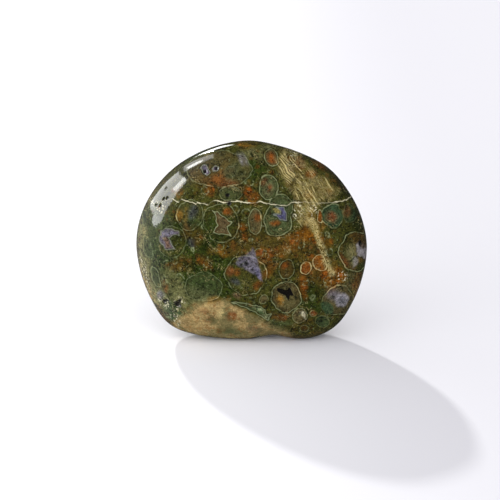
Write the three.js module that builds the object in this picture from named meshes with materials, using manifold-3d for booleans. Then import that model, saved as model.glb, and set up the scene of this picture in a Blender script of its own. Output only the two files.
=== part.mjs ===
// Polished orbicular rhyolite palm stone, standing on the worn flat of its rim.
// Millimetres, +Z up. X runs across the stone's face, Y through its thickness and
// the face with the star pocket looks along -Y. The origin is the middle of the
// bounding box's base, on the surface that the stone stands on.
import * as THREE from "three";
import { mergeVertices } from "three/addons/utils/BufferGeometryUtils.js";
import Module from "manifold-3d";

// The rim seen square-on: one radius every 15 degrees, anticlockwise from +X.
const rimRadii = [
  23.2, 22.7, 22.2, 21.9, 21.1, 20.8, 21.1, 21.1, 21.2, 21.5, 21.9, 22.5,
  23.0, 23.1, 23.3, 23.6, 21.9, 20.4, 19.9, 20.5, 22.9, 24.3, 23.8, 23.4,
];
const rimCentreHeight = 19.5; // above the resting flat
const frontDepth = 9.2; // from the rim plane to the top of the front face
const backDepth = 8.8;
const squareness = 2.35; // 2 is an ellipse through the thickness, more is flatter

// The hollow in the rim between the two patches that touch the ground.
const baseHollow = { towards: 284, spread: 11, depth: 0.9 };

// The left end is worn back, so that the front face falls away towards it.
const wornEnd = { towards: 165, from: 8, bend: 0.013 };

// Broad worn flats (lift below 0) and swells, as directions from the middle.
const swells = [
  { towards: [-0.55, -0.75, 0.35], lift: 0.45, spread: 0.45 },
  { towards: [0.45, -0.85, 0.3], lift: -0.3, spread: 0.4 },
  { towards: [0.2, -0.8, -0.6], lift: 0.35, spread: 0.4 },
  { towards: [-0.5, -0.6, -0.6], lift: -0.35, spread: 0.35 },
  { towards: [0.5, 0.8, -0.2], lift: 0.4, spread: 0.5 },
  { towards: [-0.4, 0.85, 0.4], lift: -0.4, spread: 0.45 },
  { towards: [-0.2, 0.7, -0.65], lift: 0.3, spread: 0.35 },
];

// Open vugs left in the polish: x and z on a face, across and deep.
const frontPits = [
  { x: -14.5, z: 8.6, across: 1.6, deep: 0.8 },
  { x: -14.0, z: 9.9, across: 0.8, deep: 0.4 },
  { x: -17.1, z: 8.9, across: 1.1, deep: 0.6 },
  { x: -15.2, z: 5.8, across: 0.8, deep: 0.4 },
  { x: -4.7, z: 31.5, across: 0.9, deep: 0.5 },
  { x: -4.4, z: 30.0, across: 1.0, deep: 0.5 },
  { x: -9.1, z: 35.8, across: 0.8, deep: 0.4 },
  { x: -6.9, z: 36.3, across: 0.7, deep: 0.4 },
  { x: -17.3, z: 29.6, across: 0.7, deep: 0.3 },
  { x: -18.6, z: 28.1, across: 0.7, deep: 0.3 },
  { x: -0.9, z: 18.0, across: 0.8, deep: 0.4 },
  { x: 22.1, z: 20.3, across: 1.3, deep: 0.6 },
];
const backPits = [
  { x: 9.5, z: 26.0, across: 1.3, deep: 0.6 },
  { x: 10.6, z: 24.7, across: 0.8, deep: 0.4 },
  { x: -7.0, z: 12.5, across: 1.1, deep: 0.5 },
  { x: -12.8, z: 27.4, across: 0.8, deep: 0.4 },
];

// The star pocket: x and z of its middle on the front face, and its outline from there.
const star = { x: 7.2, z: 11.8, deep: 0.9, proud: 2 };
const starOutline = [
  [-2.1, 0.9], [-0.1, 0.4], [0.4, 1.1], [0.8, 0.1], [1.2, -0.8],
  [0.5, -0.7], [0.2, -1.8], [-0.4, -0.7], [-1.3, -0.3], [-2.0, 0.1],
];

const meshDetail = 16; // subdivisions of the starting icosahedron
const pitDetail = 1;
const castFrom = 60; // rays to a face start this far out
const groundBlock = { width: 80, height: 20 };

const wasm = await Module();
wasm.setup();

// Catmull-Rom value through equally spaced samples of a closed outline.
function closedSpline(samples, turns) {
  const place = THREE.MathUtils.euclideanModulo(turns, 1) * samples.length;
  const i = Math.floor(place);
  const t = place - i;
  const [a, b, c, d] = [-1, 0, 1, 2].map(
    (step) => samples[(i + step + samples.length) % samples.length],
  );
  const bend = 2 * a - 5 * b + 4 * c - d + (3 * (b - c) + d - a) * t;
  return b + 0.5 * t * (c - a + t * bend);
}

function rimRadius(angle) {
  const full = closedSpline(rimRadii, angle / (2 * Math.PI));
  const away = THREE.MathUtils.radToDeg(angle) - baseHollow.towards;
  const near = THREE.MathUtils.euclideanModulo(away + 180, 360) - 180;
  return full - baseHollow.depth * Math.exp(-((near / baseHollow.spread) ** 2));
}

// The surface point in a direction from the middle of the stone.
function surfacePoint(direction) {
  const rim = rimRadius(Math.atan2(direction.z, direction.x));
  const depth = direction.y < 0 ? frontDepth : backDepth;
  const across = Math.hypot(direction.x, direction.z) / rim;
  const through = Math.abs(direction.y) / depth;
  const reach = (across ** squareness + through ** squareness) ** (-1 / squareness);
  const point = direction.clone().multiplyScalar(reach);

  for (const swell of swells) {
    const towards = new THREE.Vector3(...swell.towards).normalize();
    const away = direction.angleTo(towards) / swell.spread;
    point.addScaledVector(direction, swell.lift * Math.exp(-away * away));
  }

  const end = THREE.MathUtils.degToRad(wornEnd.towards);
  const outward = point.x * Math.cos(end) + point.z * Math.sin(end);
  point.y += wornEnd.bend * Math.max(0, outward - wornEnd.from) ** 2;
  return point;
}

function pebbleGeometry() {
  const geometry = new THREE.IcosahedronGeometry(1, meshDetail);
  const flatten = frontDepth / rimRadii[0];
  const position = geometry.getAttribute("position");
  const point = new THREE.Vector3();
  for (let i = 0; i < position.count; i++) {
    point.fromBufferAttribute(position, i);
    point.y *= flatten;
    point.copy(surfacePoint(point.normalize()));
    position.setXYZ(i, point.x, point.y, point.z + rimCentreHeight);
  }
  return geometry;
}

// three.js geometry to a manifold-3d solid, and back.
function toSolid(geometry) {
  const bare = geometry.clone();
  bare.deleteAttribute("normal");
  bare.deleteAttribute("uv");
  const merged = mergeVertices(bare, 1e-4);
  return new wasm.Manifold(
    new wasm.Mesh({
      numProp: 3,
      vertProperties: new Float32Array(merged.getAttribute("position").array),
      triVerts: new Uint32Array(merged.index.array),
    }),
  );
}

function toGeometry(solid) {
  const mesh = solid.getMesh();
  const geometry = new THREE.BufferGeometry();
  geometry.setAttribute("position", new THREE.BufferAttribute(mesh.vertProperties, 3));
  geometry.setIndex(new THREE.BufferAttribute(mesh.triVerts, 1));
  geometry.computeVertexNormals();
  return geometry;
}

function groundSolid() {
  const { width, height } = groundBlock;
  const box = new THREE.BoxGeometry(width, width, height);
  box.translate(0, 0, -height / 2);
  return toSolid(box);
}

// Where a line through x and z, along Y, first meets the front or the back face.
function facePoint(pebble, x, z, side) {
  const start = new THREE.Vector3(x, side * castFrom, z);
  const inward = new THREE.Vector3(0, -side, 0);
  const [hit] = new THREE.Raycaster(start, inward).intersectObject(pebble);
  return hit.point;
}

function pitSolid(centre, across, deep) {
  const geometry = new THREE.IcosahedronGeometry(1, pitDetail);
  geometry.scale(across / 2, deep, across / 2);
  geometry.translate(centre.x, centre.y, centre.z);
  return toSolid(geometry);
}

function pitSolids(pebble) {
  const pits = [];
  for (const [side, list] of [[-1, frontPits], [1, backPits]]) {
    for (const { x, z, across, deep } of list) {
      pits.push(pitSolid(facePoint(pebble, x, z, side), across, deep));
    }
  }
  return pits;
}

// The outline is drawn in X and Y, pushed along Z, and then turned to face along -Y.
function starSolid(pebble) {
  const outline = new THREE.Shape(starOutline.map(([x, z]) => new THREE.Vector2(x, z)));
  const depth = star.deep + star.proud;
  const geometry = new THREE.ExtrudeGeometry(outline, { depth, bevelEnabled: false });
  geometry.rotateX(Math.PI / 2);
  const face = facePoint(pebble, star.x, star.z, -1);
  geometry.translate(face.x, face.y + star.deep, face.z);
  return toSolid(geometry);
}

function stoneGeometry() {
  const whole = pebbleGeometry();
  const pebble = new THREE.Mesh(whole, new THREE.MeshBasicMaterial());
  const cuts = [groundSolid(), ...pitSolids(pebble), starSolid(pebble)];
  const solid = cuts.reduce((left, cut) => left.subtract(cut), toSolid(whole));
  const geometry = toGeometry(solid);
  geometry.computeBoundingBox();
  const middle = geometry.boundingBox.getCenter(new THREE.Vector3());
  geometry.translate(-middle.x, -middle.y, 0);
  return geometry;
}

const polishedRhyolite = new THREE.MeshStandardMaterial({
  color: 0x514a2e,
  roughness: 0.12,
  metalness: 0,
});

const stone = new THREE.Mesh(stoneGeometry(), polishedRhyolite);
stone.name = "stone";

const palmStone = new THREE.Group();
palmStone.add(stone);

export default palmStone;
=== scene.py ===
import math
import random

import bmesh
import bpy
import numpy as np
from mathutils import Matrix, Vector, noise
from mathutils.bvhtree import BVHTree


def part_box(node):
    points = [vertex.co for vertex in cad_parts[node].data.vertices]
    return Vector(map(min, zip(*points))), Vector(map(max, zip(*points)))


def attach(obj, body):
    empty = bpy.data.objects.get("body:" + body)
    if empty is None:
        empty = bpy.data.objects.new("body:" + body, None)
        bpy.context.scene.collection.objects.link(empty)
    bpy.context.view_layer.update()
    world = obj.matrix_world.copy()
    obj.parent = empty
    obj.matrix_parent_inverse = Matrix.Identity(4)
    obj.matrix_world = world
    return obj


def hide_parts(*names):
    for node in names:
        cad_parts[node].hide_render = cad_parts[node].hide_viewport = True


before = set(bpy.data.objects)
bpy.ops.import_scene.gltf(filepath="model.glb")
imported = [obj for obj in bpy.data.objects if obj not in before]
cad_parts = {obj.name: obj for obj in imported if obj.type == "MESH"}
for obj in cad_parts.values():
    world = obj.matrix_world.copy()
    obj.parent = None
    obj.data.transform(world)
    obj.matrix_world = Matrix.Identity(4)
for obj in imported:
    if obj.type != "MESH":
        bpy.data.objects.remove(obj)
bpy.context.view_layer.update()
print("frame loaded")

mm = 0.001
farOutside = -9.0  # mm inside a shape, for the places that it doesn't reach at all


def linear(colour):  # a paint colour, 0 to 255 for each of red, green and blue, as light
    return tuple((c / 255) ** 2.2 for c in colour)


# Paints of the stone. Every list further down picks its colours here by name.
paints = {
    "blackGreen": (32, 38, 16),
    "moss": (50, 62, 24),
    "olive": (76, 74, 34),
    "brown": (94, 68, 32),
    "umber": (74, 52, 26),
    "rust": (142, 78, 30),
    "amber": (156, 88, 26),
    "brick": (126, 72, 42),
    "ochre": (150, 108, 44),
    "tan": (206, 176, 118),
    "straw": (138, 120, 62),
    "sage": (144, 142, 96),
    "greyBrown": (98, 88, 58),
    "greyGreen": (76, 88, 56),
    "teal": (60, 86, 60),
    "paleGreen": (160, 170, 126),
    "lavender": (130, 124, 144),
    "violet": (104, 102, 146),
    "frost": (166, 162, 168),
    "slate": (74, 76, 86),
    "pink": (134, 102, 80),
    "brass": (206, 182, 100),
    "gold": (244, 224, 152),
    "cream": (250, 242, 200),
    "inkAndShade": (16, 14, 22),
}
paint = {name: np.array(linear(colour)) for name, colour in paints.items()}


# Camera. Places on the front of the stone are given as the camera sees them: millimetres
# right of and above the middle of the picture, measured at the aim.
view = {
    "elevation": 18.0,  # degrees above the table
    "distance": 440.0,  # mm from the aim
    "across": 100.0,  # mm that the picture spans at the aim
    "aim": (-0.26, 0.0, 18.2),
    "sensor": 36.0,
    "farthest": 20.0,  # metres
}
slope = math.radians(view["elevation"])
aim = Vector(view["aim"])
toCamera = Vector((0, -math.cos(slope), math.sin(slope)))
right = Vector((1, 0, 0))
upward = toCamera.cross(right)
eye = aim + toCamera * view["distance"]


def addCamera():
    data = bpy.data.cameras.new("camera")
    data.sensor_width = view["sensor"]
    data.lens = view["sensor"] * view["distance"] / view["across"]
    data.clip_end = view["farthest"]
    camera = bpy.data.objects.new("camera", data)
    camera.location = eye * mm
    camera.rotation_euler = toCamera.to_track_quat("Z", "Y").to_euler()
    bpy.context.scene.collection.objects.link(camera)
    bpy.context.scene.camera = camera


addCamera()
print("camera placed")


# The stone's mesh: a subdivided cube is puffed out to a ball, drawn onto the solid by rays
# from its middle, and smoothed until the solid's facets are gone.
body = {
    "levels": 7,  # halvings of the cube's edges
    "smoothings": 26,
    "hollowFrom": -6.0,  # mm, the stretch of the base where the solid is hollow
    "hollowTo": 16.0,
    "hollowTop": 9.0,
}


def mergedCopy(node):
    copy = bmesh.new()
    copy.from_mesh(node.data)
    bmesh.ops.remove_doubles(copy, verts=copy.verts, dist=1e-6)
    return copy


def hullTree(solid):  # the solid without its vugs
    hull = bmesh.new()
    for vert in solid.verts:
        hull.verts.new(vert.co)
    bmesh.ops.convex_hull(hull, input=hull.verts)
    return BVHTree.FromBMesh(hull)


def puffedCube(size):
    ball = bmesh.new()
    bmesh.ops.create_cube(ball, size=2)
    for _ in range(body["levels"]):
        bmesh.ops.subdivide_edges(ball, edges=ball.edges, cuts=1, use_grid_fill=True)
    for vert in ball.verts:
        x, y, z = (c * c for c in vert.co)
        vert.co.x *= math.sqrt(1 - y / 2 - z / 2 + y * z / 3) * size.x / 2
        vert.co.y *= math.sqrt(1 - z / 2 - x / 2 + z * x / 3) * size.y / 2
        vert.co.z *= math.sqrt(1 - x / 2 - y / 2 + x * y / 3) * size.z / 2
    return ball


def drawOnto(ball, middle, solidTree, outerTree):
    for vert in ball.verts:
        direction = vert.co.normalized()
        onSolid = solidTree.ray_cast(middle, direction)[0]
        onHull = outerTree.ray_cast(middle, direction)[0]
        inHollow = body["hollowFrom"] * mm < onSolid.x < body["hollowTo"] * mm
        low = onSolid.z < body["hollowTop"] * mm
        vert.co = onSolid if inHollow and low else onHull


def stoneMesh():
    low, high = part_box("stone")
    solid = mergedCopy(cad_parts["stone"])
    ball = puffedCube(high - low)
    drawOnto(ball, (low + high) / 2, BVHTree.FromBMesh(solid), hullTree(solid))
    for _ in range(body["smoothings"]):
        bmesh.ops.smooth_vert(
            ball, verts=ball.verts, factor=0.5, use_axis_x=True, use_axis_y=True, use_axis_z=True
        )
    for face in ball.faces:
        face.smooth = True
    mesh = bpy.data.meshes.new("polished_stone")
    ball.to_mesh(mesh)
    return mesh


mesh = stoneMesh()
print("stone modelled with", len(mesh.polygons), "faces")


# Measures of every vertex, in millimetres, that the vugs and the markings are placed by.
def vertexRows(values, name):
    rows = np.zeros(len(mesh.vertices) * 3, np.float32)
    values.foreach_get(name, rows)
    return rows.reshape(-1, 3).astype(float)


points = vertexRows(mesh.vertices, "co") / mm
normals = vertexRows(mesh.vertex_normals, "vector")
fromAim = points - np.array(aim)
nearness = fromAim @ np.array(toCamera)
seenScale = view["distance"] / (view["distance"] - nearness)
seen = np.stack([fromAim @ np.array(right), fromAim @ np.array(upward)], 1) * seenScale[:, None]
facing = normals @ np.array(toCamera)
pebbleTree = BVHTree.FromPolygons(
    [Vector(p) for p in points], [tuple(face.vertices) for face in mesh.polygons]
)


def onStone(across, above):  # the point of the front that is seen at this place
    target = aim + right * across + upward * above
    hit = pebbleTree.ray_cast(eye, (target - eye).normalized())[0]
    if hit is None:
        hit = pebbleTree.find_nearest(target)[0]
    return hit


def wobble(size, amount, seed):  # a smooth random shift of every vertex
    shift = Vector((seed * 7.1, seed * 3.7, seed * 5.3))
    rows = [noise.noise_vector(Vector(p) / size + shift) for p in points]
    return np.array(rows) * amount


def smooth(values, low, high):  # 0 at low, 1 at high, and eased between them
    t = np.clip((values - low) / (high - low), 0, 1)
    return t * t * (3 - 2 * t)


def outlineDepth(places, outline):  # mm inside a closed outline, less than 0 outside it
    corners = np.array(outline)
    nearest = np.full(len(places), 1e9)
    inside = np.zeros(len(places), bool)
    for start, end in zip(corners, np.roll(corners, -1, 0)):
        along = end - start
        t = np.clip((places - start) @ along / (along @ along), 0, 1)
        nearest = np.minimum(nearest, np.linalg.norm(places - start - t[:, None] * along, axis=1))
        spans = (start[1] > places[:, 1]) != (end[1] > places[:, 1])
        reach = start[0] + (places[:, 1] - start[1]) * along[0] / (along[1] or 1e-9)
        inside ^= spans & (places[:, 0] < reach)
    return np.where(inside, nearest, -nearest)


spotLimits = {
    "thickness": 2.5,  # how far a spot goes into the stone, in its own half widths
    "facing": -0.3,  # it ends where the surface looks away from the camera more than this
}


def spotDepth(spot, shift):  # mm inside an egg-shaped spot on the front, less than 0 outside it
    across, above = spot["at"]
    wide, high = spot["size"]
    turn = math.radians(spot.get("turn", 0))
    offset = seen + shift[:, :2] - np.array([across, above])
    middle = (onStone(across, above) - aim).dot(toCamera)
    deep = (nearness - middle) / (spotLimits["thickness"] * max(wide, high))
    sideways = (offset[:, 0] * math.cos(turn) + offset[:, 1] * math.sin(turn)) / wide
    lengthways = (offset[:, 1] * math.cos(turn) - offset[:, 0] * math.sin(turn)) / high
    far = np.sqrt(sideways**2 + lengthways**2 + deep**2) + 1e-6
    steepness = np.sqrt((sideways / wide) ** 2 + (lengthways / high) ** 2) / far + 1e-6
    return np.where(facing > spotLimits["facing"], (1 - far) / steepness, farOutside)


wobbles = {  # size of the noise, how far it shifts a place, both in mm, and its own seed
    "finer": (0.8, 0.16, 1),
    "orb": (2.4, 0.45, 2),
    "zone": (5.0, 2.6, 3),
    "zoneEdge": (1.6, 1.1, 4),
    "seed": 7,
}
noise.seed_set(wobbles["seed"])  # without it the noise would be shifted by the time of day
finer = wobble(*wobbles["finer"])
orbShift = wobble(*wobbles["orb"]) + finer
zoneShift = wobble(*wobbles["zone"]) + wobble(*wobbles["zoneEdge"]) + finer
print("vertices measured")


# Vugs that the polish left open. Star pocket: its outline on the front.
vugs = [  # across, above, half width and depth, in mm
    (-14.5, -10.9, 0.75, 0.8),
    (-14.1, -10.2, 0.4, 0.4),
    (-17.2, -10.3, 0.5, 0.5),
    (-16.6, -10.2, 0.35, 0.35),
    (-15.2, -13.3, 0.4, 0.4),
    (-4.5, 10.9, 0.45, 0.45),
    (-4.2, 9.3, 0.5, 0.45),
    (-9.0, 15.7, 0.4, 0.4),
    (-6.8, 16.3, 0.35, 0.35),
    (-17.3, 10.2, 0.35, 0.3),
    (-16.6, 10.4, 0.3, 0.25),
    (-18.0, 9.0, 0.35, 0.3),
    (-18.8, 8.9, 0.35, 0.3),
    (-16.8, 12.3, 0.3, 0.25),
    (-0.7, -2.8, 0.35, 0.3),
    (0.5, -3.9, 0.35, 0.3),
    (1.5, -5.1, 0.3, 0.25),
    (22.1, 1.3, 0.6, 0.6),
]
vugRaggedness = 1.5  # how strongly the finer noise shifts their edges
starPocket = {
    "deep": 0.6,
    "wall": (-0.05, 0.3),  # mm inside the outline, from the brim to the floor
    "inkAndShade": (-0.08, 0.06),  # where it starts to darken and where it is fully dark
    "around": -0.4,  # no other vug gets painted shade nearer to it than this
    "outline": [
        (5.4, -7.6), (7.4, -8.1), (8.0, -7.4), (8.4, -8.4), (8.8, -9.2),
        (8.0, -9.1), (7.7, -10.2), (7.1, -9.1), (6.2, -8.8), (5.5, -8.3),
    ],
}


def sinkVugs():
    sunk = np.zeros(len(points))
    ragged = points + finer * vugRaggedness
    for across, above, wide, deep in vugs:
        away = np.linalg.norm(ragged - np.array(onStone(across, above)), axis=1) / wide
        sunk = np.maximum(sunk, deep * np.sqrt(np.clip(1 - away**2, 0, 1)))
    depth = outlineDepth(seen, starPocket["outline"])
    depth = np.where(facing > 0, depth, farOutside)
    sunk = np.maximum(sunk, starPocket["deep"] * smooth(depth, *starPocket["wall"]))
    mesh.vertices.foreach_set("co", ((points - normals * sunk[:, None]) * mm).ravel())
    mesh.update()
    return sunk, depth


sunk, starDepth = sinkVugs()
print("vugs sunk")


# Markings. Zones are soft patches of ground colour, orbs are spherulites with a pale rim,
# cores lie inside them, and patches are filled outlines of chalcedony. The black-green zones along
# the upper right rim are painted shade, and the pale zones along the left rim are partly painted
# highlight and partly the rim's own pale colour.
def oval(at, size, paint=None, **more):  # an egg-shaped mark, with its half widths as the size
    return {"at": at, "size": size, "paint": paint, **more}


zones = [
    oval((-11.0, 0.0), (8.5, 7.0), "moss", part=0.85),
    oval((-10.5, -6.5), (9.0, 3.2), "moss", part=0.85),
    oval((-12.0, 2.5), (5.0, 3.0), "blackGreen", part=0.5),
    oval((-7.0, 15.3), (5.6, 2.4), "brown", part=0.6),
    oval((-5.1, 14.6), (2.4, 0.9), "rust", part=0.45),
    oval((1.6, 16.6), (2.6, 2.8), "moss", part=0.9),
    oval((2.0, 20.4), (5.0, 1.0), "sage", part=0.3),
    oval((-1.0, 21.2), (1.8, 0.6), "ochre", part=0.9, wander=0.3),
    oval((-3.0, 15.2), (2.0, 2.2), "teal", part=0.6),
    oval((-3.3, 12.0), (2.6, 1.0), "umber", part=0.7),
    oval((4.0, 1.0), (9.0, 3.0), "brown", part=0.6),
    oval((-6.0, -0.2), (2.6, 1.2), "ochre", part=0.45),
    oval((-3.0, -1.4), (1.8, 1.5), "brown", part=0.8),
    oval((3.5, -0.6), (2.6, 1.6), "rust", part=0.55),
    oval((9.7, 2.5), (2.8, 1.5), "amber", part=0.9),
    oval((12.6, 4.7), (1.8, 1.9), "ochre", part=0.8),
    oval((15.8, 2.6), (2.4, 1.6), "amber", part=0.5),
    oval((12.0, 0.0), (3.6, 2.0), "brown", part=0.8),
    oval((14.6, -4.2), (3.4, 2.8), "amber", part=0.9),
    oval((16.6, -6.0), (1.8, 1.5), "amber", part=0.8),
    oval((12.2, -6.4), (2.6, 3.0), "brown", part=0.9),
    # partly painted highlight: a pale tan band along the left rim, where the polish shows milky, and
    # partly the rim's own pale colour
    oval((-21.6, -1.0), (1.3, 5.6), "tan", turn=6, part=0.4, wander=0.4),
    oval((12.8, -9.8), (2.2, 2.0), "moss", part=0.8),
    oval((6.2, -13.4), (1.6, 0.9), "brick", part=0.8),
    oval((3.9, -4.6), (1.4, 0.8), "rust", part=0.9),
    oval((-9.2, -2.7), (1.8, 0.8), "brown", part=0.8),
    oval((-14.8, -3.6), (2.2, 0.9), "brown", part=0.7),
    oval((-16.4, -8.6), (3.4, 5.0), "sage", part=0.38),
    oval((-11.4, -9.2), (4.0, 1.7), "sage", part=0.45, wander=0.5),
    oval((-18.8, 3.0), (2.8, 8.0), "greyGreen", part=0.7),
    # partly painted highlight: pale sage and tan bands along the left rim, and partly the rim's own pale
    # colour
    oval((-22.2, 0.0), (2.0, 10.0), "sage", part=0.85, wander=0.5),
    oval((-20.0, -8.4), (1.6, 4.8), "sage", turn=16, part=0.7, wander=0.4),
    oval((-20.9, -7.2), (0.6, 4.6), "tan", turn=18, part=0.9, wander=0.25),
    oval((-17.2, -13.0), (0.7, 2.2), "brick", turn=35, part=0.6, wander=0.3),
    oval((-15.2, -12.4), (1.4, 2.4), "teal", turn=30, part=0.7, wander=0.4),
    oval((-19.6, 12.0), (1.2, 4.0), "straw", turn=-30, part=0.6, wander=0.4),
    oval((-11.0, 19.0), (4.0, 1.2), "greyGreen", part=0.7),
    oval((20.4, -7.2), (2.2, 3.2), "greyBrown", part=0.8),
    oval((21.4, -7.0), (0.8, 2.2), "brick", turn=-12, part=0.8, wander=0.4),
    oval((11.0, -15.8), (3.4, 0.9), "brown", part=0.7),
    oval((6.0, -15.4), (3.6, 1.0), "greyGreen", part=0.7),
    # painted shade: black-green bands along the upper right rim, where it turns away from the light
    oval((14.0, 17.4), (5.0, 0.8), "blackGreen", turn=-36, part=0.8, wander=0.25),
    oval((19.6, 11.9), (4.0, 1.4), "blackGreen", turn=-56, part=0.9, wander=0.3),
    oval((22.2, 5.6), (1.6, 4.4), "blackGreen", turn=10, part=0.9, wander=0.4),
    oval((17.6, 14.2), (2.2, 1.4), "umber", turn=-40, part=0.6),
]
bands = [  # straw-coloured flow streaks, the sandy foot, and a course of gold threads
    {
        "outline": [
            (5.2, 18.0), (6.4, 14.0), (8.2, 11.0), (8.8, 8.6), (9.0, 5.4), (11.8, 3.6), (12.8, 6.6),
            (14.2, 9.4), (16.8, 10.0), (17.6, 12.0), (15.4, 14.4), (12.0, 16.2), (9.6, 19.2), (7.4, 20.6),
        ],
        "wander": 0.35, "edge": (-0.5, 0.9), "paint": "straw", "part": 0.45,
    },
    {
        "outline": [
            (-13.4, -12.6), (-11.4, -10.6), (-9.0, -10.0), (-5.4, -9.8), (-2.6, -11.2), (1.4, -13.4),
            (4.4, -15.2), (8.0, -16.6), (7.0, -19.0), (-10.0, -19.0), (-15.6, -15.4),
        ],
        "wander": 0.25, "edge": (-0.7, 0.9), "paint": "tan", "part": 0.8,
    },
    {
        "course": [(12.2, 5.6), (13.5, 2.6), (14.2, 0.6), (15.0, -1.8), (16.1, -4.0)],
        "halfWidth": 0.6, "wander": 0.3, "edge": (-0.5, 0.5), "paint": "straw", "part": 0.3,
    },
]
orbs = [
    oval((-6.2, 16.2), (6.6, 3.7), "greyBrown", part=0.35, rim=0.5),
    oval((4.3, 18.5), (1.25, 2.0), "greyBrown", turn=14, rim=0.8),
    oval((8.3, 18.5), (1.0, 1.1), "olive", rim=0.35),
    oval((3.7, 12.6), (1.95, 2.45), "greyGreen", rim=0.9),
    oval((6.3, 8.8), (2.3, 2.4), "greyGreen", rim=0.9),
    oval((5.6, 6.0), (2.8, 3.1), "greyGreen", rim=0.9),
    oval((1.0, 5.7), (1.4, 2.7), "greyBrown", rim=0.75),
    oval((-5.7, 5.4), (3.6, 3.9), "moss", part=0.5, rim=0.6),
    oval((-3.8, 11.2), (2.4, 1.4), "greyGreen", part=0.6, rim=0.6),
    oval((-12.0, 7.0), (2.7, 3.0), "greyGreen", part=0.3, rim=0.7),
    oval((-15.6, 1.6), (3.0, 3.2), "olive", part=0.4, rim=0.35),
    oval((-9.4, -7.4), (3.8, 3.0), "greyGreen", part=0.45, rim=0.45),
    oval((-0.8, -5.0), (4.1, 4.0), "olive", part=0.5, rim=0.7),
    oval((7.3, -3.9), (1.7, 1.9), "umber", part=0.6, rim=0.6),
    oval((7.2, -9.4), (3.0, 3.15), "greyBrown", part=0.75, rim=0.85),
    oval((2.7, -9.9), (1.0, 1.05), "greyBrown", rim=0.5),
    oval((10.1, -13.2), (1.45, 1.5), "greyBrown", rim=0.7),
    oval((12.6, -12.6), (0.75, 0.7), "brick", part=0.6, rim=0.4),
    oval((14.4, -14.2), (1.4, 1.3), "teal", part=0.6, rim=0.4),
    oval((10.9, -15.8), (1.0, 0.8), "brown", part=0.7, rim=0.35),
    oval((17.7, -10.1), (3.1, 3.1), "greyBrown", part=0.8, rim=0.7),
    oval((15.6, -11.6), (1.2, 1.6), "teal", turn=35, part=0.8, rim=0.2),
    oval((21.2, -0.4), (3.4, 4.1), "brown", part=0.7, rim=0.85),
    oval((11.2, -3.7), (1.2, 1.3), "rust", rim=1.0),
    oval((13.9, -2.6), (1.3, 1.6), "brown", turn=20, part=0.3, rim=0.6),
    oval((16.6, 6.9), (2.1, 2.45), "teal", rim=0.75),
    oval((14.1, 6.8), (0.6, 1.2), "rust", rim=0.7),
    oval((19.9, 7.4), (1.3, 2.0), "teal", part=0.5, rim=0.25),
    oval((-21.2, 6.3), (0.55, 1.5), "greyGreen", rim=0.5),
    oval((-20.4, 0.6), (0.7, 2.2), "greyGreen", turn=12, rim=0.5),
    oval((-18.9, -5.4), (0.8, 2.2), "greyGreen", turn=18, rim=0.6),
]
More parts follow.
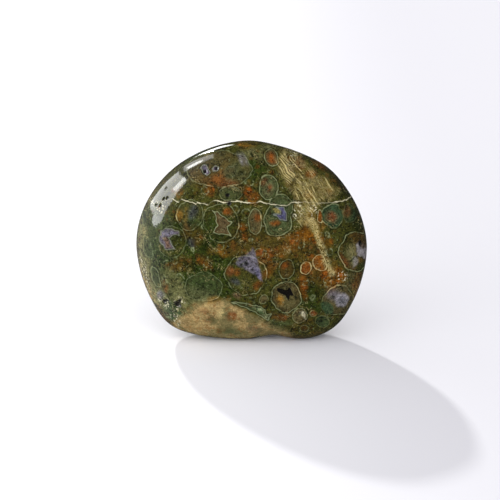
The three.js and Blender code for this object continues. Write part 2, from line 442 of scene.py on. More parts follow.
cores = [
    oval((4.3, 18.4), (0.6, 1.2), "rust", turn=16, soft=0.5),
    oval((2.7, 13.8), (0.9, 0.4), "brick", turn=50, part=0.8),
    oval((3.6, 12.2), (1.1, 1.5), "sage", part=0.4),
    oval((3.7, 12.5), (0.8, 0.9), "greyBrown", part=0.8),
    oval((3.8, 12.6), (0.4, 0.5), "brick"),
    oval((1.6, 6.4), (0.65, 0.9), "rust", soft=0.5),
    oval((4.9, 5.5), (0.9, 0.5), "rust"),
    oval((-14.2, 6.9), (0.7, 1.2), "ochre", part=0.7, soft=0.5),
    oval((-12.8, 7.0), (0.5, 1.6), "ochre", part=0.3, soft=0.5),
    oval((-11.4, 7.6), (0.8, 1.3), "slate", turn=-15, part=0.6, soft=0.6),
    oval((-2.9, -6.4), (1.1, 0.5), "slate", part=0.6, soft=0.5),
    oval((6.9, -3.2), (0.7, 0.6), "rust", part=0.8),
    oval((6.1, -10.1), (0.8, 0.9), "ochre"),
    oval((17.0, -9.0), (1.8, 1.0), "lavender", turn=-25, part=0.5, soft=0.8),
    oval((18.4, -10.0), (1.3, 1.5), "frost", part=0.9, soft=0.4),
    oval((18.4, -9.9), (0.75, 0.9), "slate", part=0.6, soft=0.4),
    oval((19.2, 0.2), (0.9, 2.6), "moss", part=0.7, soft=0.8),
    oval((18.8, -2.2), (0.7, 1.4), "brick", turn=25, part=0.6, soft=0.6),
    oval((20.6, -1.2), (0.9, 2.4), "sage", part=0.6, soft=0.8),
    oval((22.3, -3.4), (1.2, 0.9), "moss", turn=30, soft=0.6),
    oval((16.6, 6.8), (1.5, 1.8), "teal", part=0.8, soft=0.8),
    oval((-1.9, 18.2), (0.25, 1.3), "frost", turn=28, part=0.5),
    oval((-1.1, 18.3), (0.2, 1.2), "frost", turn=32, part=0.4),
    oval((0.1, 19.8), (0.2, 0.8), "sage", turn=-50, part=0.8),
    oval((3.5, 20.5), (0.7, 0.5), "sage", part=0.5),
    oval((-6.2, 14.0), (1.2, 0.9), "rust", part=0.5, soft=0.6),
    oval((-4.4, 13.2), (1.6, 0.7), "brick", part=0.5, soft=0.6),
    oval((-4.2, 7.6), (0.9, 0.7), "rust", part=0.5, soft=0.5),
    oval((-12.6, 4.0), (0.9, 1.6), "brick", part=0.3, soft=0.6),
    oval((-10.6, 2.6), (1.2, 1.8), "brown", part=0.6, soft=0.8),
    oval((-11.6, 1.6), (0.5, 1.0), "slate", turn=25, part=0.6),
    oval((-14.4, -3.6), (1.6, 0.7), "rust", part=0.4, soft=0.6),
    oval((8.0, 0.6), (1.8, 1.2), "rust", part=0.6, soft=0.8),
    oval((11.0, -1.8), (1.4, 1.0), "ochre", part=0.5, soft=0.8),
    oval((10.7, -7.2), (0.75, 2.8), "rust", turn=6, part=0.9, soft=0.4),
    oval((15.0, -5.2), (1.0, 0.9), "amber", part=0.8, soft=0.5),
    oval((9.9, 17.4), (1.0, 1.5), "brick", part=0.7),
    oval((8.0, 18.4), (0.8, 0.6), "rust", part=0.5),
    oval((12.2, 15.2), (1.1, 1.1), "rust", turn=30, part=0.7),
    oval((14.0, 17.0), (1.6, 0.7), "rust", turn=-35, part=0.5),
    oval((15.9, 11.4), (0.7, 0.6), "ochre", part=0.7),
    oval((11.8, 11.1), (0.9, 0.9), "ochre", part=0.6),
    oval((7.8, 15.9), (0.7, 0.6), "pink", part=0.6),
    oval((-9.9, -2.4), (0.8, 0.6), "rust", part=0.7),
    oval((-8.3, -3.4), (0.6, 0.5), "rust", part=0.7),
    oval((-5.2, -0.8), (0.8, 0.7), "amber", part=0.8),
    oval((-3.9, -4.2), (0.7, 1.2), "brick", part=0.7),
    oval((-2.6, -4.4), (0.6, 0.7), "rust", part=0.6),
    oval((1.6, -7.0), (0.5, 1.0), "rust", turn=-40, part=0.7),
    oval((3.2, -2.2), (1.1, 0.9), "rust", part=0.6),
    oval((1.9, -0.6), (0.9, 0.9), "brick", part=0.6),
    oval((7.0, 0.8), (0.8, 0.7), "rust", part=0.6),
    oval((12.5, -12.4), (0.5, 0.5), "brick", part=0.7),
    oval((-17.0, -7.2), (0.5, 1.6), "brick", turn=12, part=0.5),
    oval((-2.6, -9.1), (0.6, 0.5), "pink", part=0.8),
    oval((-5.0, -17.3), (8.0, 1.3), "sage", part=0.5, soft=0.9),
    oval((-3.7, -13.3), (1.0, 0.9), "brick", part=0.8),
    oval((-8.1, -13.7), (0.8, 0.6), "brick", part=0.6),
    oval((-6.3, -16.4), (0.5, 0.5), "rust", part=0.8),
    oval((-9.2, -12.0), (1.1, 0.5), "brick", part=0.5),
    oval((-7.4, -10.0), (1.4, 0.7), "ochre", turn=35, part=0.6),
    oval((-5.8, -12.8), (0.7, 1.4), "gold", turn=-30, part=0.4),
    oval((-3.0, -16.4), (2.2, 0.6), "greyGreen", part=0.6),
    oval((0.8, -15.8), (1.6, 0.6), "pink", part=0.6),
    oval((16.4, 6.7), (0.9, 1.1), "brick", soft=0.6),
    oval((19.4, 7.8), (0.7, 0.9), "brick", part=0.6, soft=0.6),
    oval((-17.9, -9.0), (0.5, 0.8), "frost", turn=30, part=0.7),
    oval((-8.1, 11.9), (1.0, 1.0), "rust", soft=0.5),
    oval((-0.4, 12.1), (0.7, 0.8), "rust", soft=0.5),
    oval((0.8, 10.8), (1.1, 0.9), "rust", soft=0.5),
    oval((0.5, 9.4), (0.9, 0.4), "amber"),
    oval((-14.4, 11.4), (0.8, 0.8), "ochre", part=0.8),
    oval((-10.7, 11.5), (0.4, 0.4), "brown"),
    oval((-1.5, 4.5), (0.8, 0.9), "rust"),
    oval((-1.0, 2.6), (0.5, 0.9), "rust", turn=20),
    oval((-4.6, 7.6), (0.8, 0.5), "rust", part=0.7),
    oval((-5.5, -0.5), (0.7, 0.6), "ochre", part=0.8),
    oval((8.8, 2.6), (1.2, 0.9), "rust", part=0.8, soft=0.7),
    oval((6.4, -13.5), (0.9, 0.7), "brick"),
]
patches = [
    {
        "outline": [
            (-7.5, 7.9), (-6.9, 7.6), (-6.3, 7.5), (-5.6, 6.7), (-4.9, 6.3), (-4.3, 5.8), (-3.5, 5.6),
            (-3.9, 5.1), (-4.7, 4.6), (-4.2, 3.6), (-3.8, 2.8), (-4.9, 3.1), (-6.1, 3.1), (-7.5, 3.5),
            (-6.9, 4.2), (-6.3, 4.9), (-6.8, 6.0), (-6.7, 6.8),
        ],
        "paint": "pink", "part": 0.4, "rim": 0.9,
    },
    {
        "outline": [(4.6, 8.3), (5.6, 8.4), (6.3, 7.7), (5.6, 7.2), (4.9, 7.5)],
        "paint": "brass", "part": 0.5, "dark": True,
    },
    {
        "outline": [
            (5.2, 8.6), (6.8, 8.5), (7.2, 7.1), (7.5, 5.8), (6.1, 6.1), (4.6, 7.2), (6.1, 7.2), (6.2, 7.9),
        ],
        "paint": "violet", "part": 0.85, "rim": 0.5, "dark": True,
    },
    {
        "outline": [(6.0, 8.1), (6.5, 7.9), (7.2, 6.3), (6.8, 6.4), (6.4, 7.3)],
        "paint": "inkAndShade", "part": 0.5,
    },
    {
        "outline": [
            (-17.8, 3.7), (-17.1, 4.2), (-15.7, 4.2), (-14.4, 3.6), (-14.0, 2.9), (-15.3, 3.1),
            (-16.4, 2.5), (-15.8, 1.4), (-15.0, 0.1), (-16.9, 0.2), (-18.1, 2.1),
        ],
        "paint": "lavender", "part": 0.75, "rim": 0.5,
    },
    {
        "outline": [(-17.5, 2.6), (-16.6, 2.6), (-16.1, 1.2), (-15.7, 0.4), (-16.7, 0.5)],
        "paint": "pink", "part": 0.9,
    },
    {
        "outline": [
            (0.7, 0.3), (1.4, -1.8), (1.8, -3.4), (2.5, -6.3), (0.9, -4.9), (-0.9, -3.8), (-2.9, -2.8),
            (-2.5, -1.7), (-0.6, -0.9),
        ],
        "paint": "lavender", "part": 0.7,
    },
    {
        "outline": [(0.9, -3.6), (1.8, -3.8), (2.3, -6.0), (1.1, -5.0)],
        "paint": "violet", "part": 0.35,
    },
    {
        "outline": [
            (-3.8, -10.5), (-1.1, -10.6), (0.7, -11.1), (1.9, -11.2), (3.0, -12.0), (3.2, -12.9),
            (4.4, -12.8), (3.6, -14.1), (2.3, -13.2), (0.7, -12.3), (-1.4, -11.3),
        ],
        "paint": "teal", "part": 0.7, "rim": 0.8,
    },
    {
        "outline": [(2.4, -12.9), (3.8, -13.1), (4.4, -12.6), (3.6, -14.0)],
        "paint": "paleGreen", "part": 0.8,
    },
    {
        "outline": [(1.2, -11.5), (2.4, -11.7), (3.0, -12.4), (2.0, -12.3)],
        "paint": "paleGreen", "part": 0.6,
    },
    {
        "outline": [
            (-9.9, 16.4), (-9.4, 17.2), (-8.6, 17.0), (-8.3, 16.1), (-7.9, 15.6), (-8.6, 15.0),
            (-9.2, 15.3),
        ],
        "paint": "lavender", "part": 0.85, "rim": 0.7, "dark": True,
    },
    {
        "outline": [(-7.6, 16.4), (-7.1, 16.8), (-6.3, 16.6), (-6.5, 16.0), (-7.3, 15.8)],
        "paint": "lavender", "part": 0.75, "rim": 0.6,
    },
    {
        "outline": [(9.9, -12.3), (10.9, -12.5), (11.2, -14.0), (10.6, -13.2)],
        "paint": "cream", "part": 0.95,
    },
    {
        "outline": [(21.2, 1.2), (22.0, 1.9), (23.4, 0.6), (23.6, -1.8), (22.4, -1.5), (21.5, -1.0)],
        "paint": "frost", "part": 0.7, "dark": True,
    },
    {
        "outline": [(20.6, -1.4), (21.6, -1.2), (21.5, -3.0), (20.7, -3.6)],
        "paint": "frost", "part": 0.45,
    },
    {
        "outline": [(21.3, 2.2), (23.6, 2.2), (23.6, 0.4), (22.3, 0.3)],
        "paint": "umber", "part": 0.8, "dark": True,
    },
]
vein = {  # across, above and strength along the front, and how it dips towards the back
    "course": [
        (-20.4, 10.4, 0.3), (-19.9, 9.9, 0.8), (-19.2, 9.3, 0.6), (-18.8, 9.6, 0.2), (-15.6, 10.2, 0.2),
        (-15.4, 10.2, 0.9), (-14.3, 9.6, 0.9), (-14.2, 9.6, 0.1), (-13.8, 10.1, 0.1), (-13.6, 10.1, 0.8),
        (-12.5, 9.9, 0.9), (-10.9, 9.2, 0.9), (-10.8, 9.2, 0.1), (-10.5, 9.5, 0.8), (-8.5, 9.1, 0.7),
        (-8.4, 9.1, 0.1), (-7.3, 9.9, 0.2), (-7.1, 9.9, 1.0), (-5.1, 9.5, 1.0), (-2.6, 9.8, 1.0),
        (-0.2, 9.4, 1.0), (0.4, 9.4, 0.2), (1.2, 9.5, 0.3), (2.0, 9.7, 0.9), (3.3, 9.4, 0.9),
        (4.8, 9.1, 0.8), (7.3, 8.9, 0.9), (8.6, 9.5, 0.9), (10.8, 9.6, 0.5), (12.0, 9.5, 0.2),
        (14.0, 9.4, 0.3), (16.4, 9.5, 0.3), (16.8, 9.6, 0.9), (18.5, 9.8, 0.9), (20.2, 10.7, 0.9),
    ],
    "dip": 0.12,
}
paintedGlints = [  # painted glints: cream specks where crystals glitter around the open vugs and along the rim
    oval((-14.5, -10.9), (1.3, 1.3)),
    oval((-17.2, -10.4), (1.6, 0.9), turn=-35),
    oval((-15.0, -13.8), (0.7, 1.8), turn=15),
    oval((-21.2, -5.0), (0.8, 4.2), turn=14),
    oval((-19.7, 9.8), (0.5, 1.2), turn=25),
    oval((-18.0, 8.8), (1.2, 1.4)),
    oval((8.7, 19.6), (0.8, 1.2)),
    oval((8.3, 17.0), (0.7, 0.8)),
    oval((12.6, 8.2), (1.0, 1.6)),
    oval((9.6, 7.8), (0.8, 1.8)),
    oval((18.4, -5.4), (1.1, 1.3), turn=-40),
]
scatter = {  # what lies out of the camera's sight. Pairs are from and to, lengths are in mm.
    "seed": 5,
    "facing": (-0.1, 0.25),  # the patches fade in from the second of these to the first
    "zonesBelow": 0.1,  # their middles face the camera less than this
    "zones": 46,
    "zoneReach": (1.5, 6.0),
    "zonePart": (0.4, 0.8),
    "zoneStretch": (1.3, 1, 0.8),
    "zoneEdge": 0.8,
    "grounds": ["moss", "moss", "blackGreen", "brown", "rust", "ochre", "tan", "greyBrown", "teal"],
    "orbsBelow": 0.05,
    "orbs": 62,
    "tries": 4000,
    "spacing": 0.8,  # between two orbs, in the sum of their reaches
    "orbReach": (0.7, 1.6),
    "orbSizes": [1, 1, 1.6, 2.3],
    "orbWidth": (0.8, 1.2),  # in its reach, and so is its height
    "orbHeight": (0.8, 1.3),
    "orbPart": (0.3, 0.8),
    "orbRim": (0.15, 0.85),
    "bodies": ["greyGreen", "greyBrown", "teal", "brown", "umber"],
    "coreReach": (0.25, 0.5),  # in the orb's reach
    "corePart": (0.3, 0.85),
    "coreSoft": (0.3, 0.7),
    "cores": ["rust", "rust", "ochre", "slate", "lavender", "umber"],
}
bandFacing = (-0.25, 0.05)  # the bands fade out where the surface turns from the camera
usual = {"orbPart": 0.85, "corePart": 0.9, "coreSoft": 0.45, "zoneWander": 1}
edges = {  # mm inside a shape, from where its colour starts to where it is full
    "zone": (-0.9, 0.9),
    "orb": (-0.05, 0.3),
    "patch": (-0.25, 0.25),
    "paintedGlint": (-0.4, 0.4),
    "vug": (0.05, 0.3),
}
patchRaggedness = 1.6
veinRaggedness = 0.6


class Marks:  # the markings at every vertex: a ground colour, and mm inside the nearest shapes
    def __init__(self):
        count = len(points)
        self.tint = np.tile(paint["olive"], (count, 1))
        self.orbField = np.full(count, farOutside)
        self.darkField = np.full(count, farOutside)
        self.lineField = np.full(count, farOutside)
        self.rim = np.zeros(count)  # how strongly the nearest orb's rim shows
        self.lineRim = np.zeros(count)

    def blend(self, name, mask):
        self.tint += (paint[name] - self.tint) * mask[:, None]

    def addOrb(self, depth, name, part, rim):
        self.rim = np.where(depth > self.orbField, rim, self.rim)
        self.orbField = np.maximum(self.orbField, depth)
        self.blend(name, smooth(depth, *edges["orb"]) * part)

    def addCore(self, depth, name, part, soft):
        self.blend(name, smooth(depth, -soft, soft) * part)

    def addPatch(self, patch):
        depth = outlineDepth(seen + finer[:, :2] * patchRaggedness, patch["outline"])
        depth = np.where(facing > 0, depth, farOutside)
        if "rim" in patch:
            self.lineRim = np.where(depth > self.lineField, patch["rim"], self.lineRim)
            self.lineField = np.maximum(self.lineField, depth)
        if patch.get("dark"):
            self.darkField = np.maximum(self.darkField, depth)
        self.blend(patch["paint"], smooth(depth, *edges["patch"]) * patch["part"])


def markZones(marks):
    for zone in zones:
        depth = spotDepth(zone, zoneShift * zone.get("wander", usual["zoneWander"]))
        marks.blend(zone["paint"], smooth(depth, *edges["zone"]) * zone["part"])


def markScattered(marks, rng):  # the sides and the back: broad patches of the same colours
    hidden = np.flatnonzero(facing < scatter["zonesBelow"])
    fade = 1 - smooth(facing, *scatter["facing"])
    for _ in range(scatter["zones"]):
        place = points[rng.choice(hidden)]
        reach = rng.uniform(*scatter["zoneReach"])
        away = np.linalg.norm((points + zoneShift - place) / scatter["zoneStretch"], axis=1)
        mask = smooth(away, reach + scatter["zoneEdge"], reach - scatter["zoneEdge"]) * fade
        mask *= rng.uniform(*scatter["zonePart"])
        marks.blend(rng.choice(scatter["grounds"]), mask)


def bandDepth(band):  # mm inside an outline, or inside the given width around a course
    places = seen + zoneShift[:, :2] * band["wander"]
    if "outline" in band:
        return outlineDepth(places, band["outline"])
    nearest = np.full(len(points), np.inf)
    for start, end in zip(band["course"], band["course"][1:]):
        along = np.subtract(end, start)
        t = np.clip((places - start) @ along / (along @ along), 0, 1)
        nearest = np.minimum(nearest, np.linalg.norm(places - start - t[:, None] * along, axis=1))
    return band["halfWidth"] - nearest


def markBands(marks):
    front = smooth(facing, *bandFacing)
    masks = []
    for band in bands:
        mask = smooth(bandDepth(band), *band["edge"]) * front
        marks.blend(band["paint"], mask * band["part"])
        masks.append(mask)
    return np.stack(masks, 1)


def scatteredOrbs(rng):
    hidden = np.flatnonzero(facing < scatter["orbsBelow"])
    placed = []
    tries = 0
    while len(placed) < scatter["orbs"] and tries < scatter["tries"]:
        tries += 1
        place = points[rng.choice(hidden)]
        reach = rng.uniform(*scatter["orbReach"]) * rng.choice(scatter["orbSizes"])
        clear = all(
            np.linalg.norm(place - other["place"]) > scatter["spacing"] * (reach + other["reach"])
            for other in placed
        )
        if clear:
            placed.append({"place": place, "reach": reach})
    return placed


def markScatteredOrbs(marks, rng):
    for orb in scatteredOrbs(rng):
        stretch = (rng.uniform(*scatter["orbWidth"]), 1, rng.uniform(*scatter["orbHeight"]))
        away = np.linalg.norm((points + orbShift - orb["place"]) / stretch, axis=1)
        filling = rng.choice(scatter["bodies"])
        part = rng.uniform(*scatter["orbPart"])
        marks.addOrb(orb["reach"] - away, filling, part, rng.uniform(*scatter["orbRim"]))
        core = rng.choice(scatter["cores"])
        inner = orb["reach"] * rng.uniform(*scatter["coreReach"]) - away
        part = rng.uniform(*scatter["corePart"])
        marks.addCore(inner, core, part, rng.uniform(*scatter["coreSoft"]))


def markFront(marks):
    for orb in orbs:
        part = orb.get("part", usual["orbPart"])
        marks.addOrb(spotDepth(orb, orbShift), orb["paint"], part, orb["rim"])
    for core in cores:
        part = core.get("part", usual["corePart"])
        soft = core.get("soft", usual["coreSoft"])
        marks.addCore(spotDepth(core, orbShift), core["paint"], part, soft)
    for patch in patches:
        marks.addPatch(patch)


def paintedGlintMask():
    masks = [smooth(spotDepth(spot, orbShift), *edges["paintedGlint"]) for spot in paintedGlints]
    return np.max(masks, axis=0)


def veinCourse():  # mm above the vein, and how strongly it shows
    course = np.array([(*onStone(u, v), part) for u, v, part in vein["course"]])
    level = np.interp(points[:, 0], course[:, 0], course[:, 2])
    level -= vein["dip"] * (points[:, 1] - np.interp(points[:, 0], course[:, 0], course[:, 1]))
    part = np.interp(points[:, 0], course[:, 0], course[:, 3])
    return points[:, 2] + finer[:, 2] * veinRaggedness - level, part


def storeNumbers(name, values):
    layer = mesh.attributes.new(name, "FLOAT", "POINT")
    layer.data.foreach_set("value", values.astype(np.float32))


def storeColours(name, values):
    layer = mesh.attributes.new(name, "FLOAT_COLOR", "POINT")
    full = np.concatenate([values, np.ones((len(values), 1))], 1)
    layer.data.foreach_set("color", full.astype(np.float32).ravel())


def layMarks():
    rng = random.Random(scatter["seed"])
    marks = Marks()
    markZones(marks)
    markScattered(marks, rng)
    bandMasks = markBands(marks)
    markScatteredOrbs(marks, rng)
    markFront(marks)
    veinField, veinPart = veinCourse()
    # painted shade: the sunk vugs are darkened towards ink by how deep they are
    inkAndShade = np.where(starDepth > starPocket["around"], 0, smooth(sunk, *edges["vug"]))
    marks.blend("inkAndShade", inkAndShade)
    storeColours("tint", marks.tint)
    storeColours("bands", bandMasks)
    storeColours("parts", np.stack([marks.rim, marks.lineRim, veinPart], 1))
    storeNumbers("orbField", marks.orbField)
    storeNumbers("darkField", marks.darkField)
    storeNumbers("lineField", marks.lineField)
    storeNumbers("veinField", veinField)
    storeNumbers("paintedGlint", paintedGlintMask())
    storeNumbers("inkAndShade", inkAndShade)
    storeNumbers("starField", starDepth)


layMarks()
print("markings laid out")


class Wire:  # a socket that Python's operators can add Math nodes to
    def __init__(self, tree, socket=None):
        self.tree = tree
        self.socket = socket

    def node(self, kind, settings=None, inputs=None, output=0):
        made = self.tree.nodes.new("ShaderNode" + kind)
        for name, value in (settings or {}).items():
            setattr(made, name, value)
        for name, value in (inputs or {}).items():
            if isinstance(value, Wire):
                self.tree.links.new(value.socket, made.inputs[name])
            else:
                made.inputs[name].default_value = value
        return Wire(self.tree, made.outputs[output] if made.outputs else None)

    def beside(self, output):  # another output of the same node
        return Wire(self.tree, self.socket.node.outputs[output])

    def maths(self, operation, *values):
        return self.node("Math", {"operation": operation}, dict(enumerate(values)))

    def __add__(self, other):
        return self.maths("ADD", self, other)

    def __sub__(self, other):
        return self.maths("SUBTRACT", self, other)

    def __rsub__(self, other):
        return self.maths("SUBTRACT", other, self)

    def __mul__(self, other):
        return self.maths("MULTIPLY", self, other)

    def __abs__(self):
        return self.maths("ABSOLUTE", self)

    __radd__ = __add__
    __rmul__ = __mul__

    def eased(self, low, high):
        ends = {0: self, 1: low, 2: high, 3: 0.0, 4: 1.0}
        return self.node("MapRange", {"interpolation_type": "SMOOTHSTEP"}, ends)

    def mixed(self, other, factor, mode="MIX"):
        kinds = {"data_type": "RGBA", "blend_type": mode}
        return self.node("Mix", kinds, {0: factor, 6: self, 7: other}, 2)

    def scaled(self, factor):
        return self.node("VectorMath", {"operation": "SCALE"}, {0: self, 3: factor})


finish = {
    "brightness": 0.61,
    "roughness": 0.06,
    "roughSpread": 0.06,
    "vugRoughness": 0.4,  # added in the vugs
    "dents": 0.05,
    "dentDepth": 0.0002,  # metres
    "fleck": 0.7,  # mm, the size of the dents and of the duller spots
    "rimWidth": 0.12,  # mm
    "veinWidth": 0.14,
    "streakTurn": 52,  # degrees below level
    "streakStretch": (5.0, 2.0, 0.26),
    "starInk": 0.92,
    # how dark the painted shade in the vugs is
    "vugShade": 0.8,
}


def opaque(name):
    return (*linear(paints[name]), 1)


def attribute(where, name, output=2):
    return where.node("Attribute", {"attribute_name": name}, None, output)


def split(colour):
    red = colour.node("SeparateColor", None, {0: colour})
    return red, red.beside(1), red.beside(2)


def grain(where, size, detail=3.0, roughness=0.6, distortion=0.0):  # size in mm
    inputs = {"Vector": where, "Scale": 1000 / size, "Detail": detail}
    inputs.update({"Roughness": roughness, "Distortion": distortion})
    return where.node("TexNoise", None, inputs)


def bent(where, size, amount):  # the places shifted by a noise of this size, both in mm
    shift = grain(where, size, 2.0).beside(1)
    shift = shift.node("VectorMath", {"operation": "SUBTRACT"}, {0: shift, 1: (0.5, 0.5, 0.5)})
    reach = (amount * mm, amount * mm, amount * mm)
    return shift.node("VectorMath", {"operation": "MULTIPLY_ADD"}, {0: shift, 1: reach, 2: where})


def cells(where, size):
    return where.node("TexVoronoi", {"feature": "F1"}, {"Vector": where, "Scale": 1000 / size})


def nearLine(field, width):  # 1 on the line where a field is 0
    return abs(field).eased(width, width * 0.2)


sizes = {  # mm, of the patterns that the ground is made of
    "bead": 1.5,
    "ring": 2.7,
    "ringGaps": 0.9,
    "mottle": 2.4,
    "fleck": 0.7,
    "dust": 0.3,
    "dark": 1.2,
    "wavyThread": 1.0,
    "wavyGaps": 1.9,
    "thread": 1.7,
    "threadGaps": 3.1,
    "speck": 0.45,
    "smudge": 1.3,
    "greenSmudge": 3.7,
    "glint": 0.4,
    "streak": 1.0,
    "streakGaps": 3.0,
    "orbEdge": 0.6,
    "veinEdge": 0.9,
    "gaps": 1.1,  # where the pale lines are broken
    "broadGaps": 4.0,
}
bends = {  # mm, the size of the noise that bends a pattern, and how far
    "bead": (1.4, 1.4),
    "ring": (1.2, 1.0),
    "streak": (7.0, 3.0),
}


def beadGround(where, colour, calm):  # small spherulites crowded together
    red, green, _ = split(colour)
    warm = (red - green).eased(0.0, 0.1)
    crowd = cells(bent(where, *bends["bead"]), sizes["bead"])
    bead = crowd.eased(0.46, 0.2)
    pick = split(crowd.beside(1))[0]
    colour = colour.mixed(opaque("moss"), (1 - bead) * (0.25 + warm * 0.25) * calm)
    colour = colour.mixed(opaque("rust"), bead * pick.eased(0.25, 0.8) * warm * calm * 0.45)
    return colour.mixed(opaque("brown"), bead * pick.eased(0.45, 0.9) * (1 - warm) * calm * 0.5)


def ringGround(where, colour, calm):  # faint larger spherulites between the drawn ones
    crowd = cells(bent(where, *bends["ring"]), sizes["ring"])
    pick, second, _ = split(crowd.beside(1))
    ring = nearLine(crowd - 0.33, 0.06) * pick.eased(0.4, 0.6) * calm
    broken = grain(where, sizes["ringGaps"]).eased(0.4, 0.6)
    colour = colour.mixed(opaque("paleGreen"), ring * broken * 0.45)
    heart = crowd.eased(0.24, 0.1) * second.eased(0.5, 0.6) * calm
    return colour.mixed(opaque("rust"), heart * 0.3)


def shadeGround(where, colour, sand):
    mottle = grain(where, sizes["mottle"], 5.0, 0.65, 0.6)
    fleck = grain(where, sizes["fleck"], 4.0, 0.7, 0.3)
    dust = grain(where, sizes["dust"], 2.0, 0.7)
    rough = (mottle - 0.5) * 2.4 + (fleck - 0.5) * 3.4 + (dust - 0.5) * 2.8
    shade = 1 + rough * (1 - sand * 0.45)
    colour = colour.scaled(shade.maths("MAXIMUM", shade, 0.12))
    dark = grain(where, sizes["dark"], 4.0, 0.65, 0.8).eased(0.46, 0.34)
    return colour.mixed(opaque("blackGreen"), dark * (1 - sand * 0.8) * 0.65)


def threadGround(where, colour, gold, straw, sand):  # fine gold threads, pale specks and painted glints
    wavy = abs(grain(where, sizes["wavyThread"], 3.0, 0.6, 2.5) - 0.5)
    broken = grain(where, sizes["wavyGaps"], 2.0).eased(0.38, 0.54) * straw * 0.25
    colour = colour.mixed(opaque("gold"), wavy.eased(0.09, 0.02) * (broken + gold * 0.75))
    rare = grain(where, sizes["threadGaps"], 2.0).eased(0.5, 0.62)
    thread = abs(grain(where, sizes["thread"], 2.0, 0.5, 1.2) - 0.5)
    colour = colour.mixed(opaque("gold"), thread.eased(0.014, 0.004) * rare * 0.4)
    speck = grain(where, sizes["speck"], 2.0, 0.6).eased(0.62, 0.7)
    colour = colour.mixed(opaque("paleGreen"), speck * 0.4)
    smudge = grain(where, sizes["smudge"], 4.0, 0.7).eased(0.52, 0.64)
    colour = colour.mixed(opaque("rust"), smudge * sand * 0.55)
    smudge = grain(where, sizes["greenSmudge"], 4.0, 0.7).eased(0.47, 0.6)
    colour = colour.mixed(opaque("greyGreen"), smudge * sand * 0.6)
    # painted glints: cream specks where the crystals catch the light
    glint = grain(where, sizes["glint"], 2.0, 0.6).eased(0.55, 0.62) * attribute(where, "paintedGlint")
    return colour.mixed(opaque("cream"), glint * 0.9)


def streakStraw(where, colour, straw):
    inputs = {"Vector": bent(where, *bends["streak"]), "Scale": finish["streakStretch"]}
    inputs["Rotation"] = (0, math.radians(finish["streakTurn"]), 0)
    along = where.node("Mapping", {"vector_type": "TEXTURE"}, inputs)
    streak = grain(along, sizes["streak"], 3.0)
    colour = colour.mixed(opaque("umber"), streak.eased(0.5, 0.38) * straw * 0.6)
    bright = streak.eased(0.54, 0.6) * grain(where, sizes["streakGaps"], 3.0).eased(0.36, 0.56)
    return colour.mixed(opaque("gold"), bright * straw * 0.9)


def drawOrbs(where, colour, rim, patchy):
    depth = attribute(where, "orbField") + (grain(where, sizes["orbEdge"], 2.0) - 0.5) * 0.25
    inside = depth.eased(0.2, 0.6) * rim
    colour = colour.mixed(opaque("umber"), nearLine(depth - 0.75, 0.3) * rim * 0.35)
    waves = (depth * 17).maths("SINE", depth * 17)
    colour = colour.mixed(opaque("blackGreen"), waves.eased(0.2, 1.0) * inside * 0.3)
    colour = colour.mixed(opaque("greyGreen"), waves.eased(-0.3, -1.0) * inside * 0.3)
    halo = nearLine(depth + 0.2, 0.22) * 0.6 + nearLine(depth - 0.3, 0.18) * 0.5
    colour = colour.mixed(opaque("blackGreen"), halo * rim)
    ring = nearLine(depth - 0.04, finish["rimWidth"]) * rim * patchy
    red, green, _ = split(attribute(where, "tint", 0))
    colour = colour.mixed(opaque("paleGreen"), ring * 0.85)
    return colour.mixed(opaque("gold"), ring * (red - green).eased(0.02, 0.1) * 0.75)


def drawLines(where, colour, line, veinPart, patchy):
    dark = attribute(where, "darkField")
    colour = colour.mixed(opaque("blackGreen"), nearLine(dark + 0.12, 0.16) * 0.4)
    field = attribute(where, "lineField")
    colour = colour.mixed(opaque("blackGreen"), nearLine(field + 0.2, 0.16) * line * 0.6)
    colour = colour.mixed(opaque("umber"), nearLine(field - 0.22, 0.14) * line * 0.6)
    colour = colour.mixed(opaque("paleGreen"), nearLine(field, finish["rimWidth"]) * line * 0.8)
    height = attribute(where, "veinField") + (grain(where, sizes["veinEdge"], 3.0) - 0.5) * 0.7
    colour = colour.mixed(opaque("blackGreen"), nearLine(height + 0.2, 0.2) * veinPart * 0.4)
    shown = veinPart * (0.35 + patchy * 0.65)
    return colour.mixed(opaque("cream"), nearLine(height, finish["veinWidth"]) * shown)


def stoneColour(where):
    rim, line, veinPart = split(attribute(where, "parts", 0))
    straw, sand, gold = split(attribute(where, "bands", 0))
    outside = attribute(where, "orbField").eased(0.1, -0.25)
    calm = outside * (1 - sand * 0.8) * (1 - straw * 0.6)
    colour = beadGround(where, attribute(where, "tint", 0), calm)
    colour = ringGround(where, colour, calm)
    colour = shadeGround(where, colour, sand)
    colour = streakStraw(where, colour, straw)
    colour = threadGround(where, colour, gold, straw, sand)
    patchy = grain(where, sizes["gaps"], 2.0, 0.5).eased(0.28, 0.54)
    patchy = patchy * grain(where, sizes["broadGaps"], 2.0).eased(0.26, 0.5)
    colour = drawOrbs(where, colour, rim, patchy)
    colour = drawLines(where, colour, line, veinPart, patchy)
    # the star pocket is darkened towards ink, and the vugs with painted shade
    star = attribute(where, "starField").eased(*starPocket["inkAndShade"]) * finish["starInk"]
    hollow = star.maths("MAXIMUM", star, attribute(where, "inkAndShade") * finish["vugShade"])
    return colour.mixed(opaque("inkAndShade"), hollow).scaled(finish["brightness"])


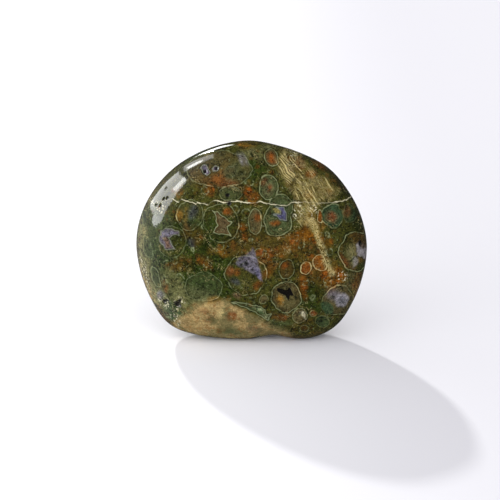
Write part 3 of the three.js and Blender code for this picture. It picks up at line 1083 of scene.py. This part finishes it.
def polishedStone():
    material = bpy.data.materials.new("polished_rhyolite")
    material.use_nodes = True
    tree = material.node_tree
    shader = tree.nodes["Principled BSDF"]
    where = Wire(tree).node("TexCoord", None, None, 3)
    tree.links.new(stoneColour(where).socket, shader.inputs["Base Color"])
    fleck = grain(where, finish["fleck"], 3.0)
    rough = finish["roughness"] + (fleck - 0.5) * finish["roughSpread"]
    rough = rough + attribute(where, "inkAndShade") * finish["vugRoughness"]
    tree.links.new(rough.socket, shader.inputs["Roughness"])
    dents = {"Strength": finish["dents"], "Distance": finish["dentDepth"], "Height": fleck}
    tree.links.new(where.node("Bump", None, dents).socket, shader.inputs["Normal"])
    return material


def addStone():
    piece = bpy.data.objects.new("polished_stone", mesh)
    bpy.context.scene.collection.objects.link(piece)
    mesh.materials.append(polishedStone())
    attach(piece, "root")
    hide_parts("stone")


addStone()
print("stone finished")


# Floor, sky and lamps.
floorPlan = {
    "size": 6.0,
    "left": (0.98, 0.98, 0.98, 1),  # reflectance; its drop to the right is painted light falloff
    "right": (0.75, 0.745, 0.765, 1),
    "from": -0.045,  # metres right of the middle, where the one side turns into the other
    "to": 0.055,
    "roughness": 0.9,
}


def addFloor():
    sheet = bmesh.new()
    bmesh.ops.create_grid(sheet, x_segments=1, y_segments=1, size=floorPlan["size"] / 2)
    floorMesh = bpy.data.meshes.new("floor")
    sheet.to_mesh(floorMesh)
    material = bpy.data.materials.new("pale_floor")
    material.use_nodes = True
    tree = material.node_tree
    shader = tree.nodes["Principled BSDF"]
    where = Wire(tree).node("TexCoord", None, None, 3)
    across = where.node("SeparateXYZ", None, {0: where})
    # painted light: the floor darkens from left to right as the light falls off
    sides = {6: floorPlan["left"], 7: floorPlan["right"]}
    sides[0] = across.eased(floorPlan["from"], floorPlan["to"])
    paperWithPaintedFalloff = where.node("Mix", {"data_type": "RGBA"}, sides, 2)
    tree.links.new(paperWithPaintedFalloff.socket, shader.inputs["Base Color"])
    shader.inputs["Roughness"].default_value = floorPlan["roughness"]
    shader.inputs["Specular IOR Level"].default_value = 0.0
    floorMesh.materials.append(material)
    floor = bpy.data.objects.new("floor", floorMesh)
    floor.visible_glossy = False
    bpy.context.scene.collection.objects.link(floor)


sky = {
    "seen": (0.975, 0.975, 0.99, 1),
    "light": (1.0, 0.995, 1.04, 1),
    "ambient": 0.28,
    "fromLeft": 1.2,
    "fromFront": 2.0,
    "mirrored": 0.04,  # what the polish reflects from the camera's side of the room
    "mirroredLeft": 0.5,
    "leftFrom": (-0.2, -0.95),  # the bright left side starts and is full at these directions
    "behindFrom": (-0.6, 0.0),
}


def addSky():
    world = bpy.data.worlds.new("studio")
    world.use_nodes = True
    tree = world.node_tree
    tree.nodes.clear()
    start = Wire(tree)
    across = start.node("SeparateXYZ", None, {0: start.node("TexCoord")})
    away = across.beside(1)
    left = (across * -1).maths("MAXIMUM", across * -1, 0.0)
    front = (away * -1).maths("MAXIMUM", away * -1, 0.0)
    soft = sky["ambient"] + left * sky["fromLeft"] + front * sky["fromFront"]
    bright = across.eased(*sky["leftFrom"]) * away.eased(*sky["behindFrom"])
    mirrored = sky["mirrored"] + bright * sky["mirroredLeft"]
    rays = start.node("LightPath")
    strength = soft + (mirrored - soft) * rays.beside(3)
    room = start.node("Background", None, {"Color": sky["light"], "Strength": strength})
    shown = start.node("Background", None, {"Color": sky["seen"], "Strength": 1.0})
    both = start.node("MixShader", None, {0: rays, 1: room, 2: shown})
    start.node("OutputWorld", None, {"Surface": both})
    bpy.context.scene.world = world


sun = {"towards": (-0.324, 0.823, 0.466), "strength": 1.75, "angle": 2.5}
panes = [  # bright windows that only the polish shows: middle and size in metres
    {"middle": (-0.5, 0.15, 0.215), "size": (0.5, 0.27), "radiance": 4.3},
    {"middle": (-0.5, 0.02, 0.25), "size": (0.26, 0.21), "radiance": 7},
    {"middle": (-0.49, -0.03, 0.29), "size": (0.1, 0.12), "radiance": 7},
    {"middle": (-0.5, 0.35, 0.65), "size": (0.4, 0.5), "radiance": 2.6},
    {"middle": (-0.49, 0.25, 0.53), "size": (0.14, 0.2), "radiance": 10},
    {"middle": (-0.155, 0.51, 0.28), "towards": (-0.26, 0.85, 0.46), "size": (0.135, 0.14), "radiance": 6},
    {"middle": (-0.5, -0.01, 0.08), "size": (0.17, 0.1), "radiance": 4.5, "shape": "ELLIPSE"},
]


def addLamp(name, data, towards, middle):
    lamp = bpy.data.objects.new(name, data)
    lamp.location = middle
    lamp.rotation_euler = Vector(towards).to_track_quat("Z", "Y").to_euler()
    bpy.context.scene.collection.objects.link(lamp)
    return lamp


def addSun():
    data = bpy.data.lights.new("sun", "SUN")
    data.energy = sun["strength"]
    data.angle = math.radians(sun["angle"])
    addLamp("sun", data, sun["towards"], (0, 0, 1))


def addPane(number, pane):
    data = bpy.data.lights.new(f"pane_{number}", "AREA")
    data.shape = pane.get("shape", "RECTANGLE")
    data.size, data.size_y = pane["size"]
    data.energy = 4 * data.size * data.size_y * pane["radiance"]
    towards = pane.get("towards", (-1, 0, 0))
    lamp = addLamp(f"pane_{number}", data, towards, pane["middle"])
    lamp.visible_camera = False
    lamp.visible_diffuse = False


addFloor()
addSky()
addSun()
for number, pane in enumerate(panes):
    addPane(number, pane)
bpy.context.scene.view_settings.view_transform = "Standard"
print("floor, sky and lamps placed")
